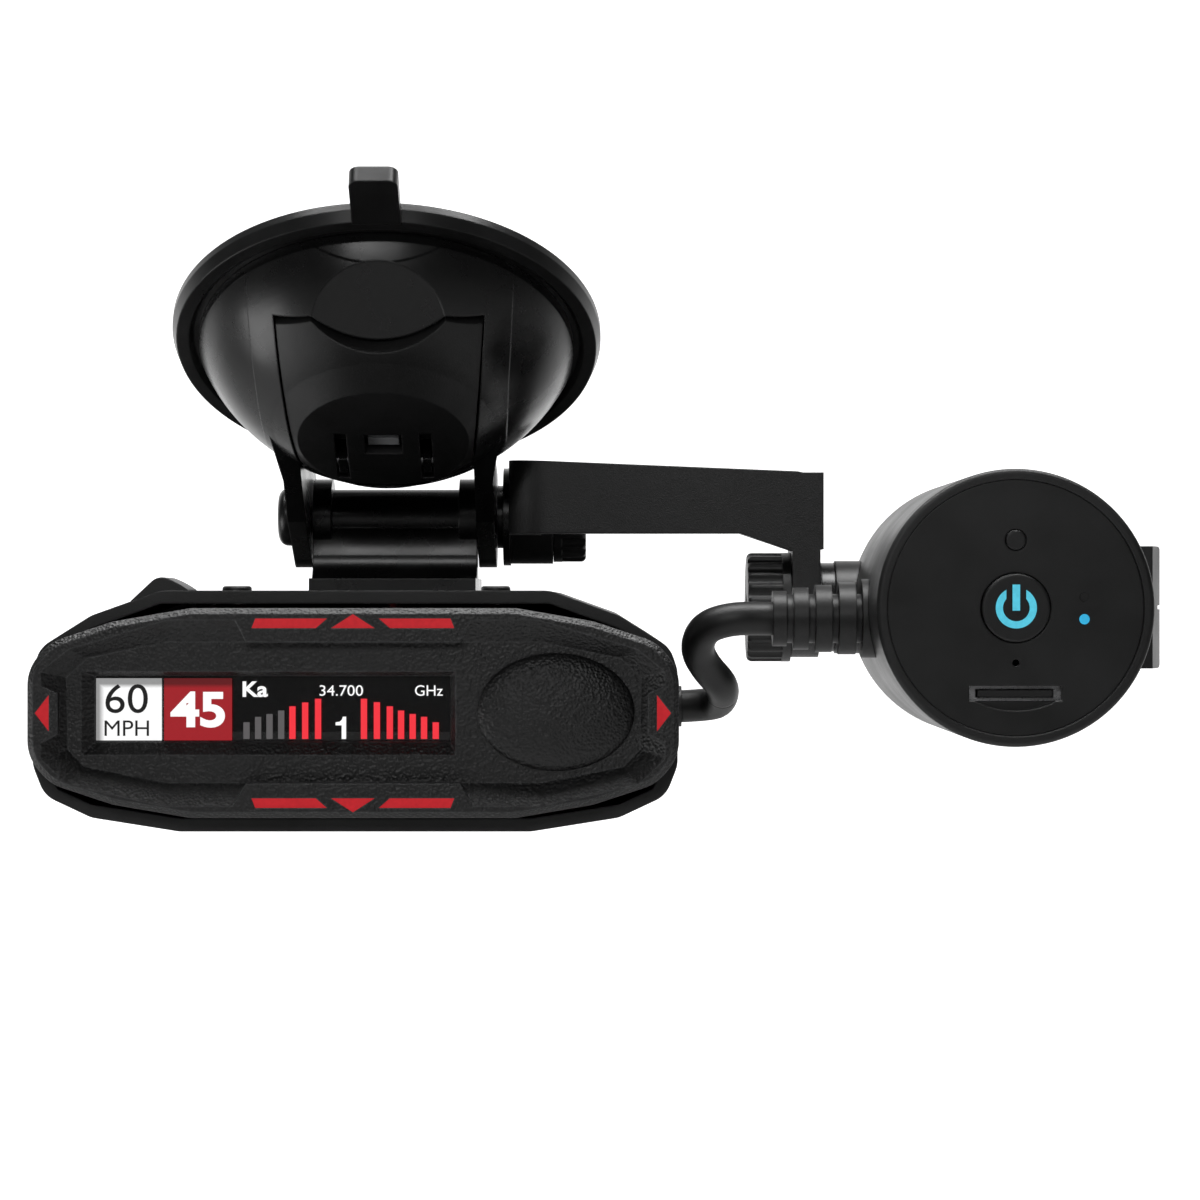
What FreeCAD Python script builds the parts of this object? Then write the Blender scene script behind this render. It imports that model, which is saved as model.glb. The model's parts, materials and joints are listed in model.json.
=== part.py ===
import FreeCAD, Part
import math
import os
import Sketcher

# Windscreen radar detector with a suction mount and a camera module on a side arm.
# Frame: the origin is the centre of the suction face on the glass. +X points to the driver's right,
# +Y to the road and +Z up. The suction mount is drawn in the glass's own frame, in which
# +Z is the face's outward normal and +Y runs down the slope, and is turned into place at the end.

SIZES = {
    # suction mount, in the glass's frame
    "glass_tilt": 31.5,
    "disc_radius": 33.5,
    "disc_rim": 3.0,
    "tab_wide": 7.3,
    "tab_reach": 43.0,
    "dome_foot": 29.2,
    "dome_shoulder": 17.0,
    "dome_wall": 2.0,
    "band_height": 21.4,
    "lever_top_half": 15.7,
    "lever_foot_half": 13.3,
    "lever_gap": 0.3,
    "lever_pin_down": 7.0,
    "lever_pin_height": 19.2,
    "lever_pin_radius": 0.9,
    "stem_radius": 4.0,
    # hinge between the mount and the detector
    "hinge_y": 28.0,
    "hinge_z": -28.25,
    "hinge_down": 38.63,
    "hinge_height": 9.48,
    "yoke_inner": 13.6,
    "yoke_outer": 16.5,
    "yoke_radius": 8.3,
    "bolt_radius": 2.5,
    "run_gap": 0.05,
    "barrel_radius": 4.5,
    # detector case
    "front_y": -83.0,
    "bezel_deep": 5.0,
    "rear_y": 54.0,
    "case_top": -40.6,
    "case_split": -58.0,
    "case_bottom": -73.5,
    "case_half": 44.0,
    "case_wall": 1.8,
    "bezel_z": -57.2,
    "bezel_half_wide": 44.1,
    "bezel_half_tall": 14.2,
    "recess_deep": 2.2,
    "key_radius": 2.1,
    "key_x": 18.5,
    "key_y": -53.0,
    # camera arm
    "arm_left": 18.85,
    "arm_thick": 5.0,
    "arm_right": 68.2,
    "arm_front": 3.0,
    "arm_top": -19.6,
    "arm_bottom": -31.4,
    "arm_bend": 7.0,
    "hub_radius": 7.7,
    "hub_right": 25.7,
    "leg_left": 63.8,
    "leg_right": 68.2,
    "leg_radius": 8.0,
    "arm_knob_right": 31.1,
    "arm_knob_radius": 7.4,
    # camera module
    "pivot_y": 11.0,
    "pivot_z": -43.05,
    "pivot_bolt_radius": 2.0,
    "camera_knob_left": 56.8,
    "camera_knob_radius": 8.7,
    "camera_x": 94.0,
    "camera_radius": 20.3,
    "camera_front": -43.0,
    "camera_back": 19.0,
    "camera_wall": 1.6,
    "face_radius": 18.7,
    "power_radius": 5.0,
    "event_radius": 1.48,
    "boss_radius": 7.4,
    "side_cap_radius": 9.6,
    "side_cap_right": 122.0,
    "cable_radius": 2.55,
}

doc = FreeCAD.newDocument("radar_detector")
sheet = doc.addObject("Spreadsheet::Sheet", "Sizes")
for row, (alias, number) in enumerate(SIZES.items(), start=1):
    sheet.set("A%d" % row, alias)
    sheet.set("B%d" % row, str(number))
    sheet.setAlias("B%d" % row, alias)
doc.recompute()

NODES = {}


class Length:
    """A number together with the sheet expression that gives it."""

    def __init__(self, number, text):
        self.number = float(number)
        self.text = text

    def __add__(self, other):
        other = length(other)
        return Length(self.number + other.number, "(%s + %s)" % (self.text, other.text))

    def __sub__(self, other):
        other = length(other)
        return Length(self.number - other.number, "(%s - %s)" % (self.text, other.text))

    def __mul__(self, factor):
        return Length(self.number * factor, "(%s * %s)" % (self.text, factor))

    def __neg__(self):
        return self * -1

    def __radd__(self, other):
        return length(other) + self

    def __rsub__(self, other):
        return length(other) - self


def length(value):
    """value as a Length, with a plain number standing for itself."""
    if isinstance(value, Length):
        return value
    return Length(value, "(%.4f)" % value)


def cell(alias):
    """The sheet's cell of that alias."""
    return Length(sheet.get(alias), "Sizes." + alias)


def bind(item, name, value):
    """Set a property of item and tie it to the sheet."""
    item.setExpression(name, length(value).text)


def place(item, x=0, y=0, z=0):
    """Tie an object's position to the sheet."""
    for letter, value in zip("xyz", (x, y, z)):
        bind(item, ".Placement.Base." + letter, value)


def node(name, item):
    """Name a finished sub-part, whose label no other object may keep."""
    for other in doc.getObjectsByLabel(name):
        other.Label = name + "_blank"
    item.Label = name
    NODES[name] = item
    return item


# Sketches and features

TURNS = {
    "X": FreeCAD.Rotation(FreeCAD.Vector(0, 1, 0), 90),
    "Y": FreeCAD.Rotation(FreeCAD.Vector(1, 0, 0), -90),
    "Z": FreeCAD.Rotation(),
}
# How a sketch plane's own normal runs: XZ looks along -Y.
NORMAL_SIGN = {"XY_Plane": 1, "XZ_Plane": -1, "YZ_Plane": 1}


def new_body(name):
    return doc.addObject("PartDesign::Body", name)


def new_sketch(body, plane, at=0):
    """An empty sketch on a body's origin plane, moved to the coordinate at along that plane's axis."""
    sketch = body.newObject("Sketcher::SketchObject", body.Name + "_sketch")
    feature = [f for f in body.Origin.OriginFeatures if f.Role == plane][0]
    sketch.AttachmentSupport = [(feature, "")]
    sketch.MapMode = "FlatFace"
    bind(sketch, ".AttachmentOffset.Base.z", length(at) * NORMAL_SIGN[plane])
    return sketch


def pin_point(sketch, geometry, vertex, point):
    """Hold one vertex of a sketch at a point given by the sheet."""
    for kind, value in zip(("DistanceX", "DistanceY"), point):
        value = length(value)
        number = sketch.addConstraint(Sketcher.Constraint(kind, -1, 1, geometry, vertex, value.number))
        sketch.setExpression("Constraints[%d]" % number, value.text)


def vector(point):
    return FreeCAD.Vector(length(point[0]).number, length(point[1]).number, 0)


def draw_outline(sketch, points):
    """Close an outline through points. A third item, "via", marks the middle point of an arc."""
    corners = [i for i, point in enumerate(points) if len(point) == 2]
    first = None
    previous = None
    for turn, start in enumerate(corners):
        end = corners[(turn + 1) % len(corners)]
        between = (start + 1) % len(points)
        if between == end:
            edge = sketch.addGeometry(Part.LineSegment(vector(points[start]), vector(points[end])), False)
            head, tail = 1, 2
        else:
            arc = Part.Arc(vector(points[start]), vector(points[between]), vector(points[end]))
            edge = sketch.addGeometry(arc, False)
            began = sketch.getPoint(edge, 1).distanceToPoint(vector(points[start])) < 1e-5
            head, tail = (1, 2) if began else (2, 1)
            middle = sketch.addGeometry(Part.Point(vector(points[between])), True)
            pin_point(sketch, middle, 1, points[between][:2])
            sketch.addConstraint(Sketcher.Constraint("PointOnObject", middle, 1, edge))
        pin_point(sketch, edge, head, points[start][:2])
        if previous is not None:
            sketch.addConstraint(Sketcher.Constraint("Coincident", previous[0], previous[1], edge, head))
        else:
            first = (edge, head)
        previous = (edge, tail)
    sketch.addConstraint(Sketcher.Constraint("Coincident", previous[0], previous[1], first[0], first[1]))
    return sketch


def draw_circle(sketch, radius, centre=(0, 0)):
    """One circle with its centre and radius tied to the sheet."""
    circle = Part.Circle(vector(centre), FreeCAD.Vector(0, 0, 1), length(radius).number)
    edge = sketch.addGeometry(circle, False)
    pin_point(sketch, edge, 3, centre)
    number = sketch.addConstraint(Sketcher.Constraint("Radius", edge, length(radius).number))
    sketch.setExpression("Constraints[%d]" % number, length(radius).text)
    return sketch


def grow(body, sketch, low, high, plane, kind="PartDesign::Pad"):
    """Pad or pocket a sketch, drawn on a plane through low, as far as high along that plane's axis."""
    feature = body.newObject(kind, body.Name + "_" + kind.split("::")[1].lower())
    feature.Profile = sketch
    bind(feature, "Length", length(high) - length(low))
    along = NORMAL_SIGN[plane] > 0
    feature.Reversed = not along if kind == "PartDesign::Pad" else along
    sketch.Visibility = False
    return feature


def pad(body, plane, low, high, points):
    return grow(body, draw_outline(new_sketch(body, plane, low), points), low, high, plane)


def pad_circle(body, plane, low, high, radius, centre=(0, 0)):
    return grow(body, draw_circle(new_sketch(body, plane, low), radius, centre), low, high, plane)


def pocket(body, plane, low, high, points):
    sketch = draw_outline(new_sketch(body, plane, low), points)
    return grow(body, sketch, low, high, plane, "PartDesign::Pocket")


def pocket_circle(body, plane, low, high, radius, centre=(0, 0)):
    sketch = draw_circle(new_sketch(body, plane, low), radius, centre)
    return grow(body, sketch, low, high, plane, "PartDesign::Pocket")


def revolve(body, points, plane="XZ_Plane", axis="V_Axis"):
    """Turn an outline of a body's radial plane a full turn about one of its sketch's axes."""
    sketch = draw_outline(new_sketch(body, plane), points)
    feature = body.newObject("PartDesign::Revolution", body.Name + "_revolution")
    feature.Profile = sketch
    feature.ReferenceAxis = (sketch, [axis])
    feature.Angle = 360
    sketch.Visibility = False
    return feature


def soften(body, kind, size, chosen):
    """Round ("Fillet") or bevel ("Chamfer") the edges of a body that chosen(edge) accepts."""
    doc.recompute()
    base = body.Tip
    names = ["Edge%d" % n for n, edge in enumerate(base.Shape.Edges, start=1) if chosen(edge)]
    feature = body.newObject("PartDesign::" + kind, body.Name + "_" + kind.lower())
    feature.Base = (base, names)
    bind(feature, "Radius" if kind == "Fillet" else "Size", size)
    return feature


def runs_along(edge, axis):
    """Whether an edge is straight along X, Y or Z."""
    box = edge.BoundBox
    spans = {"X": box.XLength, "Y": box.YLength, "Z": box.ZLength}
    return spans[axis] > 0.5 and all(v < 1e-4 for k, v in spans.items() if k != axis)


def lies_at(edge, axis, value):
    """Whether all of an edge lies at one coordinate."""
    box = edge.BoundBox
    low, high = {"X": (box.XMin, box.XMax), "Y": (box.YMin, box.YMax), "Z": (box.ZMin, box.ZMax)}[axis]
    return abs(low - value) < 1e-3 and abs(high - value) < 1e-3


def cylinder(name, radius, low, high, axis="Z", centre=(0, 0)):
    """A cylinder from low to high along an axis. centre is its other two coordinates, in X, Y, Z order."""
    item = doc.addObject("Part::Cylinder", name)
    bind(item, "Radius", radius)
    bind(item, "Height", length(high) - length(low))
    item.Placement = FreeCAD.Placement(FreeCAD.Vector(), TURNS[axis])
    spot = list(centre)
    spot.insert("XYZ".index(axis), low)
    place(item, *spot)
    return item


def block(name, low, high):
    """A box between two corners."""
    item = doc.addObject("Part::Box", name)
    for side, start, end in zip(("Length", "Width", "Height"), low, high):
        bind(item, side, length(end) - length(start))
    place(item, *low)
    return item


def cut(name, base, *tools):
    """base less the tools, one after another."""
    for tool in tools:
        item = doc.addObject("Part::Cut", name)
        item.Base = base
        item.Tool = tool
        base = item
    return base


def fuse(name, *parts):
    item = doc.addObject("Part::MultiFuse", name)
    item.Shapes = list(parts)
    item.Refine = True
    return item


def common(name, base, tool):
    item = doc.addObject("Part::Common", name)
    item.Base = base
    item.Tool = tool
    return item


def group(name, *parts):
    """Separate solids kept as one object."""
    item = doc.addObject("Part::Compound", name)
    item.Links = list(parts)
    return item


def mirrored(points):
    """An outline's right half, from its top middle round to its bottom middle, with its left half."""
    return points + [(-length(p[0]),) + tuple(p[1:]) for p in reversed(points)]


def rectangle(left, right, bottom, top):
    return [(left, bottom), (right, bottom), (right, top), (left, top)]


# Suction mount, drawn in the glass's frame

def on_glass(name, item):
    """Turn a finished piece of the mount to the windscreen's slope and name it."""
    item.Placement = FreeCAD.Placement(FreeCAD.Vector(), FreeCAD.Rotation(FreeCAD.Vector(1, 0, 0), -1))
    bind(item, ".Placement.Rotation.Angle", -cell("glass_tilt"))
    return node(name, item)


def make_suction_disc():
    body = new_body("suction_disc")
    edge = cell("disc_radius")
    rim = -cell("disc_rim")
    revolve(body, [(0, 0), (edge, 0), (edge, -1.2), (edge - 0.7, rim), (edge - 2.7, rim),
                   (edge - 3.4, -2.2), (8, -2.2), (7, -3.4), (0, -3.4)])
    half = cell("tab_wide") * 0.5
    reach = -cell("tab_reach")
    pad(body, "XY_Plane", rim - 0.3, -0.6, [
        (half, -32.4), (half, reach + 1.6), (half - 0.5, reach + 0.4, "via"), (half - 1.6, reach),
        (-half + 1.6, reach), (-half + 0.5, reach + 0.4, "via"), (-half, reach + 1.6), (-half, -32.4)])
    on_glass("suction_disc", body)


def lever_outline(gap):
    """The lever seen square to the glass, with its scooped thumb edge up the slope."""
    top = cell("lever_top_half") + gap
    foot = cell("lever_foot_half") + gap
    up = gap * 2.5
    corner = gap * 3.6
    return [(-top, -18.6 - corner), (-10.2, -20.9 - up), (0, -18.4 - up, "via"), (10.2, -20.9 - up),
            (top, -18.6 - corner), (foot, 8.3 + gap), (0, 11.6 + gap, "via"), (-foot, 8.3 + gap)]


def dome_profile(rise):
    """The dome's outer face from its crown to its foot, moved outward by rise."""
    top = -cell("band_height")
    return [(0, top - rise), (8, top + 0.2 - rise, "via"), (13.2 + 0.25 * rise, top + 0.9 - rise),
            (cell("dome_shoulder") + 0.62 * rise, -17.8 - 0.78 * rise),
            (24.9 + 0.76 * rise, -10.9 - 0.65 * rise, "via"),
            (cell("dome_foot") + 0.93 * rise, -4 - 0.3 * rise)]


def dome_shell(name, rise, depth):
    """A shell round the stem's axis, from rise outside the dome's outer face to depth inside it."""
    body = new_body(name)
    revolve(body, dome_profile(rise) + dome_profile(-depth)[::-1])
    return body


def lever_solid(name, gap, rise, depth):
    """The lever's panel: the part of the dome inside its outline. rise lifts the outer face."""
    plan = new_body(name + "_plan")
    pad(plan, "XY_Plane", -30, 0, lever_outline(gap))
    return common(name + "_common", plan, dome_shell(name + "_shell", rise, depth))


def make_cup_housing():
    shoulder = cell("dome_shoulder")
    foot = cell("dome_foot")
    wall = cell("dome_wall")
    dome = new_body("dome")
    revolve(dome, dome_profile(0) + [
        (foot, -2.3), (foot - wall, -2.3), (foot - wall, -4), (23.1, -9.6, "via"),
        (shoulder - wall, -15.6), (0, -16.2)])
    guide = cylinder("stem_guide", 6.2, -16.5, -9)
    band_plan = new_body("band_plan")
    pad(band_plan, "XY_Plane", -25, -2, mirrored([(20.8, -27.8), (19.4, -8), (18.7, 8)]))
    band = common("band", band_plan, dome_shell("band_shell", 0.25, 4.6))
    arms = []
    for side, sign in (("left", -1), ("right", 1)):
        inner = cell("yoke_inner") * sign
        outer = cell("yoke_outer") * sign
        wide = length(18.7 * sign)
        plan = new_body("yoke_plan_" + side)
        pad(plan, "XY_Plane", -25, 0, [(inner, -2), (wide, -2), (outer, 14), (outer, 50), (inner, 50)])
        profile = new_body("yoke_side_" + side)
        down = cell("hinge_down")
        high = -cell("hinge_height")
        radius = cell("yoke_radius")
        low, top_x = (-19, -13) if sign < 0 else (13, 19)
        pad(profile, "YZ_Plane", low, top_x, [
            (-2, -16.5), (6, -17.7), (24, -19.8), (down, high - radius),
            (down + radius, high, "via"), (down, high + radius), (31.2, -4.2), (24, -7.5), (12, -12)])
        arms.append(common("yoke_" + side, plan, profile))
    ribs = [block("ear_rib", (x, 5.7, -17), (x + 1.3, 14, -10.5)) for x in (-7.2, 5.9)]
    shell = fuse("housing_shell", dome, guide, band, *arms, *ribs)
    thumb = cylinder("thumb_scoop", 10.2, 0, 9)
    thumb.Placement = FreeCAD.Placement(FreeCAD.Vector(), FreeCAD.Rotation(FreeCAD.Vector(1, 0, 0), 133.8))
    place(thumb, 0, -20.4, -13.6)
    bore = cylinder("stem_bore", cell("stem_radius") + cell("run_gap"), -25, -5)
    bolt = cylinder("yoke_bore", cell("bolt_radius") + cell("run_gap"), -20, 20, "X",
                    (cell("hinge_down"), -cell("hinge_height")))
    pin = cylinder("lever_pin_bore", cell("lever_pin_radius"), -10.6, 10.6, "X",
                   (cell("lever_pin_down"), -cell("lever_pin_height")))
    # The lever's tail swings into a well behind its pin, and two ears in the well hold the pin.
    well = cylinder("lever_well", 5.6, -13.6, 13.6, "X", (cell("lever_pin_down"), -cell("lever_pin_height")))
    ears = [block("lever_ear", (x, 4.4, -20.9), (x + 1.3, 8.1, -17.3)) for x in (-7.2, 5.9)]
    ears += [block("lever_ear_root", (x, 5.7, -17.3), (x + 1.3, 7.3, -13.0)) for x in (-7.2, 5.9)]
    space = fuse("lever_room", lever_solid("lever_space", cell("lever_gap"), 3, 2.25), well)
    room = cut("lever_clear", space, *ears)
    on_glass("cup_housing", cut("cup_housing", shell, room, thumb, bore, bolt, pin))


def make_release_lever():
    reach = cylinder("lever_reach", 28.85, -20, 20, "X", (cell("lever_pin_down"), -cell("lever_pin_height")))
    panel = common("lever_trimmed", lever_solid("lever_panel", 0, 0, 2.0), reach)
    slots = [block("lever_slot", (x, -3.2, -25), (x + 1.9, 9.8, -10)) for x in (-7.5, 5.6)]
    window = block("lever_window", (-2.9, -3.2, -25), (2.9, 2.0, -10))
    bore = cylinder("lever_bore", cell("lever_pin_radius") + cell("run_gap"), -10.8, 10.8, "X",
                    (cell("lever_pin_down"), -cell("lever_pin_height")))
    down = cell("lever_pin_down")
    high = -cell("lever_pin_height")
    knuckle = cylinder("lever_knuckle", 2.0, -5.2, 5.2, "X", (down, high))
    on_glass("release_lever", cut("release_lever", fuse("lever_body", panel, knuckle), window, bore, *slots))


def make_lever_fittings():
    pin = cylinder("lever_pin", cell("lever_pin_radius"), -10.5, 10.5, "X",
                   (cell("lever_pin_down"), -cell("lever_pin_height")))
    on_glass("lever_pin", group("lever_pin_group", pin))
    radius = cell("stem_radius")
    flange = cylinder("stem_flange", 8.5, -5.4, -3.4)
    shaft = cylinder("stem_shaft", radius, -17.6, -5.2)
    tab = block("stem_tab", (-2.4, -0.6, -20.2), (2.4, 1.3, -17.4))
    hole = cylinder("stem_pin_hole", 0.8, -5, 5, "X", (0, -12.6))
    stem = cut("pull_stem", fuse("stem_body", flange, shaft, tab), hole)
    on_glass("pull_stem", stem)
    on_glass("stem_pin", group("stem_pin_group", cylinder("stem_pin", 0.8, -3.9, 3.9, "X", (0, -12.6))))


def make_release_spring():
    """A coil spring about the stem, from its flange to the guide's end ring."""
    wire = 0.5
    coil = 7.3
    bottom = -15.4
    turns_tall = 9.2
    helix = Part.makeHelix(turns_tall / 4, turns_tall, coil)
    ring = Part.Wire([Part.makeCircle(wire, FreeCAD.Vector(coil, 0, 0), FreeCAD.Vector(0, 1, 0))])
    spring = doc.addObject("Part::Feature", "release_spring")
    spring.Shape = Part.Wire(helix.Edges).makePipeShell([ring], True, True)
    spring.Placement = FreeCAD.Placement(FreeCAD.Vector(0, 0, bottom), FreeCAD.Rotation())
    on_glass("release_spring", group("spring_group", spring))


# Hinge between the mount and the detector, about a bolt along X

def about_hinge(name, radius, low, high):
    return cylinder(name, radius, low, high, "X", (cell("hinge_y"), cell("hinge_z")))


def make_hinge():
    barrel = about_hinge("barrel", cell("barrel_radius"), -13.4, 13.4)
    web = new_body("mount_web")
    pad(web, "YZ_Plane", -13.4, 13.4, [
        (25.0, -28.25), (23.3, -31.5, "via"), (22.6, -34.6), (21.9, -37.2, "via"), (19.4, -38.9),
        (19.4, -40.0), (31.0, -40.0), (31.0, -38.9), (28.2, -36.6, "via"), (27.4, -33.0), (28.0, -28.25)])
    foot = block("mount_foot", (-13.4, 14.0, -40.5), (13.4, 46.0, -38.4))
    hubs = [about_hinge("barrel_hub", 6.2, low, low + 3.0) for low in (-13.4, 10.4)]
    bore = about_hinge("barrel_bore", cell("bolt_radius"), -14, 14)
    plate = cut("mount_plate", fuse("mount_body", barrel, web, foot, *hubs), bore)
    node("mount_plate", plate)
    magnets = [cylinder("mount_magnet", 5.0, -44.4, -42.4, "Z", (0, y)) for y in (19.5, 39.0)]
    node("mount_magnets", group("mount_magnets_group", *magnets))
    bolt = about_hinge("bolt_shank", cell("bolt_radius"), -17.0, 29.4)
    node("hinge_bolt", group("hinge_bolt_group", bolt))
    cap = new_body("hinge_cap")
    place(cap, 0, cell("hinge_y"), cell("hinge_z"))
    pad_circle(cap, "YZ_Plane", -19.3, -17.05, 4.75)
    soften(cap, "Fillet", 1.6, lambda edge: lies_at(edge, "X", -19.3))
    node("hinge_cap", cap)
    for name, low, high, radius in (("hinge_spacer", 16.6, 17.6, 5.15), ("arm_washer", 17.6, 18.8, 8.0)):
        ring = cut(name, about_hinge(name + "_disc", radius, low, high),
                   about_hinge(name + "_hole", cell("bolt_radius"), low - 1, high + 1))
        node(name, ring)


# Detector case

def case_half_points(inset):
    """The right half of the case's section, from the top middle down, set in by a wall."""
    top = cell("case_top") - inset
    bottom = cell("case_bottom") + inset
    half = cell("case_half") - inset
    return [(26.5, top), (36, -44.0 - inset), (half - 1, -48.4 - inset * 0.5), (half, -51.5),
            (half, -64.5), (half - 1.6, -68.6 + inset * 0.5), (36, -71.6 + inset), (24, bottom)]


def make_case(name, low, high):
    """One half of the case: the whole section between two heights, hollowed from the front."""
    front = cell("front_y") + cell("bezel_deep")
    rear = cell("rear_y")
    wall = cell("case_wall")
    body = new_body(name + "_full")
    pad(body, "XZ_Plane", front, rear, mirrored(case_half_points(0)))
    soften(body, "Fillet", 4.0, lambda edge: runs_along(edge, "Y"))
    soften(body, "Fillet", 3.0, lambda edge: lies_at(edge, "Y", SIZES["rear_y"]))
    pocket(body, "XZ_Plane", front, rear - wall - 0.6, mirrored(case_half_points(wall)))
    half = block(name + "_space", (-60, front - 1, low), (60, rear + 1, high))
    return common(name + "_half", body, half)


def jack_hole():
    return cylinder("jack_hole", 2.9, 40, 46, "X", (1.0, -58.6))


def make_upper_case():
    split = cell("case_split")
    half = make_case("upper_case", split, 0)
    key_holes = [cylinder("key_hole", cell("key_radius") + 0.15, -46, -38, "Z", (x, cell("key_y")))
                 for x in (-cell("key_x"), cell("key_x"))]
    wedge_hole = block("wedge_hole", (-34.5, -49.3, -50), (-25.7, -36.7, -38))
    road = block("road_opening", (-26, 50, split - 1), (26, 56, -47.5))
    grooves = [block("heat_slot", (x, -26, -42), (x + 1.4, -4, -39)) for x in (17.0, 20.0, 23.0)]
    node("upper_case", cut("upper_case", half, *key_holes, wedge_hole, road, jack_hole(), *grooves))


def make_lower_case():
    half = make_case("lower_case", -90, cell("case_split"))
    slots = [block("speaker_slot", (x, -30, -75), (x + 1.4, -14, -71)) for x in (-12, -8, -4, 0, 4, 8)]
    screw_holes = [cylinder("screw_hole", 1.25, -76, -70, "Z", (x, y)) for x in (-30, 30) for y in (-66, 42)]
    posts = [cut("screw_post", cylinder("screw_post_out", 2.6, -71.9, -59.8, "Z", (x, y)),
                 cylinder("screw_post_in", 1.25, -76, -58, "Z", (x, y)))
             for x in (-30, 30) for y in (-66, 42)]
    case = cut("lower_case", half, jack_hole(), *slots, *screw_holes)
    node("lower_case", fuse("lower_case_posts", case, *posts))
    screws = []
    for x in (-30, 30):
        for y in (-66, 42):
            shank = cylinder("screw_shank", 1.25, -73.0, -60, "Z", (x, y))
            screws.append(shank)
    node("case_screws", group("case_screws_group", *screws))


def bezel_outline(inset):
    """The bezel's front outline about its own middle."""
    wide = cell("bezel_half_wide") - inset
    tall = cell("bezel_half_tall") - inset
    half = [(22, tall), (32.5 - inset, 12.4 - inset), (41.0 - inset, 9.6 - inset),
            (wide, 6.0), (wide, -6.0), (41.0 - inset, -9.6 + inset), (32.5 - inset, -12.4 + inset),
            (22, -tall)]
    return mirrored(half)


def loft_cut(body, front, back, front_points, back_points):
    """Cut away a tapered pocket between two outlines with as many corners."""
    near = draw_outline(new_sketch(body, "XZ_Plane", front), front_points)
    far = draw_outline(new_sketch(body, "XZ_Plane", back), back_points)
    feature = body.newObject("PartDesign::SubtractiveLoft", body.Name + "_loft")
    feature.Profile = near
    feature.Sections = [far]
    feature.Ruled = True
    return feature


LAMP_BARS = [(3.5, 12.8), (13.2, 12.8), (13.7, 11.5), (5.0, 11.5)]
LAMP_TIP = [(-2.95, 11.5), (0, 13.4), (2.95, 11.5)]


def lamp_outlines():
    """The red arrow lamps: a tip and two bars above and below the display, a tip at each side."""
    flip = [[(-x, y) for x, y in LAMP_BARS], LAMP_BARS, LAMP_TIP]
    return {
        "arrow_light_top": flip,
        "arrow_light_bottom": [[(x, -y) for x, y in points] for points in flip],
        "arrow_light_left": [[(-41.1, -2.46), (-43.0, 0), (-41.1, 2.46)]],
        "arrow_light_right": [[(41.1, -2.46), (43.0, 0), (41.1, 2.46)]],
    }


def make_bezel():
    body = new_body("front_bezel")
    place(body, 0, 0, cell("bezel_z"))
    front = cell("front_y")
    floor = front + cell("recess_deep")
    back = front + cell("bezel_deep")
    pad(body, "XZ_Plane", front, back, bezel_outline(0))
    soften(body, "Fillet", 6.0, lambda edge: runs_along(edge, "Y"))
    soften(body, "Chamfer", 0.8, lambda edge: lies_at(edge, "Y", SIZES["front_y"]))
    # The sloped recess round the display, and the lands in it that carry the lamps.
    loft_cut(body, front, floor,
             mirrored([(25.0, 12.6), (38.5, 8.6), (42.2, 5.6), (42.2, -6.2), (38.5, -9.7), (25.4, -12.6)]),
             mirrored([(25.4, 9.6), (36.2, 7.4), (39.0, 4.8), (38.8, -5.0), (36.6, -7.3), (25.4, -9.5)]))
    pad(body, "XZ_Plane", front, floor + 0.5, [(-16.2, 13.1), (-14.5, 9.6), (14.5, 9.6), (16.2, 13.1)])
    pad(body, "XZ_Plane", front, floor + 0.5, [(-16.6, -13.1), (-14.5, -9.5), (14.5, -9.5), (16.6, -13.1)])
    for sign in (-1, 1):
        pad(body, "XZ_Plane", front, floor + 0.5, [
            (42.7 * sign, 3.9), (39.9 * sign, 2.7), (39.9 * sign, -2.9), (42.7 * sign, -4.3)])
    loft_cut(body, floor, floor + 1.4, rectangle(-37.0, 13.8, -5.75, 5.6), rectangle(-35.0, 13.0, -3.7, 4.9))
    pocket(body, "XZ_Plane", floor + 1.3, back, rectangle(-37.5, 15.5, -6.2, 7.4))
    for outlines in lamp_outlines().values():
        for points in outlines:
            pocket(body, "XZ_Plane", front, back, points)
    node("front_bezel", body)
    return front, floor, back


def make_lamps():
    front = cell("front_y")
    for name, outlines in lamp_outlines().items():
        solids = []
        for number, points in enumerate(outlines):
            lamp = new_body("%s_%d" % (name, number))
            place(lamp, 0, 0, cell("bezel_z"))
            pad(lamp, "XZ_Plane", front + 0.1, front + cell("bezel_deep"), points)
            solids.append(lamp)
        node(name, group(name + "_group", *solids))


def make_display():
    floor = cell("front_y") + cell("recess_deep")
    back = cell("front_y") + cell("bezel_deep")
    z = cell("bezel_z")
    window = block("display_window", (-36.5, floor + 1.4, z - 5.2), (14.5, floor + 2.4, z + 6.4))
    node("display_window", window)
    node("display_module", block("display_module", (-36.0, floor + 2.5, z - 5.0),
                                 (14.0, back + 3.0, z + 6.2)))
    eye = doc.addObject("Part::Ellipsoid", "eye_dome")
    bind(eye, "Radius1", 8.0)
    bind(eye, "Radius2", 10.7)
    bind(eye, "Radius3", 2.0)
    place(eye, 27.4, floor - 0.02, z + 0.1)
    rim = block("eye_space", (10, floor - 5, z - 12), (45, floor, z + 12))
    node("laser_eye_cover", common("laser_eye_cover", eye, rim))
    board = new_body("led_board")
    place(board, 0, 0, z)
    pad(board, "XZ_Plane", back + 0.1, back + 1.1, mirrored([(21, 11.4), (38, 7.6), (41.5, 5), (41.5, -5),
                                                            (38, -7.6), (21, -11.4)]))
    pocket(board, "XZ_Plane", back, back + 2, rectangle(-37, 15, -6.3, 6.8))
    node("led_board", board)


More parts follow.
